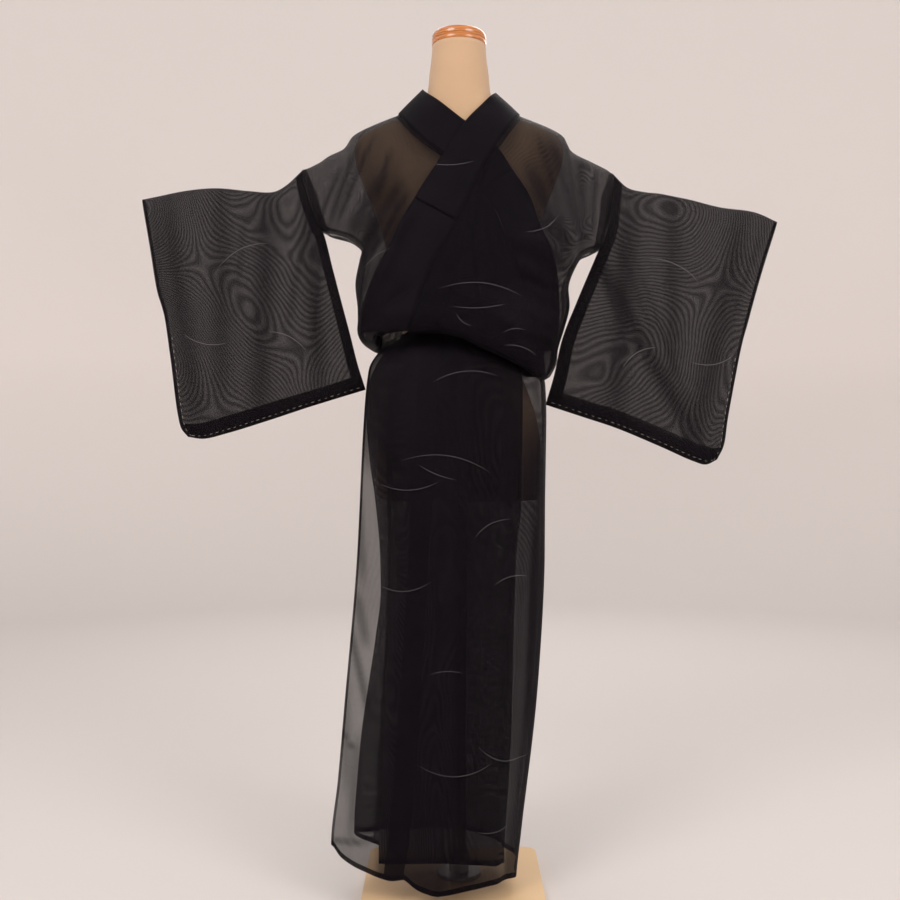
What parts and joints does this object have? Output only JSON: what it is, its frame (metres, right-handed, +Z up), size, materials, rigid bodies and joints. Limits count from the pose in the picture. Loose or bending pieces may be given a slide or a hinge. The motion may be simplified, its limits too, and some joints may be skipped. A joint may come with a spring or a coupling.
{
  "type": "kimono on a dress form",
  "caption": "Unlined black silk gauze kimono, wrapped left over right with its sleeves held out, on a limbless dress form with a wooden neck cap, a pole and a base plate.",
  "frame": {"origin": "on the underside of the base plate, straight below the middle of the form's neck", "axes": "+Z up along the form's pole, the kimono's front faces -Y, the wearer's left is +X"},
  "size_m": [1.2804, 0.335, 1.6323],
  "materials": {
    "silk_gauze": "sheer black silk gauze, woven in fine open rows",
    "form_cover": "tight beige jersey cover",
    "varnished_wood": "turned wood under clear varnish",
    "painted_plate": "cream paint, satin",
    "pole_steel": "brushed steel tube"
  },
  "bodies": {
    "root": {"form_torso": "form_cover", "form_cap": "varnished_wood", "form_base": "painted_plate", "form_flange": "pole_steel", "form_pole": "pole_steel", "body_left_upper": "silk_gauze", "body_right_upper": "silk_gauze", "overlap_left_upper": "silk_gauze", "overlap_right_upper": "silk_gauze", "collar": "silk_gauze", "over_collar": "silk_gauze", "back_right_lower": "silk_gauze", "front_right_lower": "silk_gauze", "overlap_right_lower": "silk_gauze", "back_left_lower": "silk_gauze", "front_left_lower": "silk_gauze", "overlap_left_lower": "silk_gauze", "sleeve_right_front": "silk_gauze", "sleeve_right_back": "silk_gauze", "sleeve_left_front": "silk_gauze", "sleeve_left_back": "silk_gauze"}
  },
  "joints": []
}
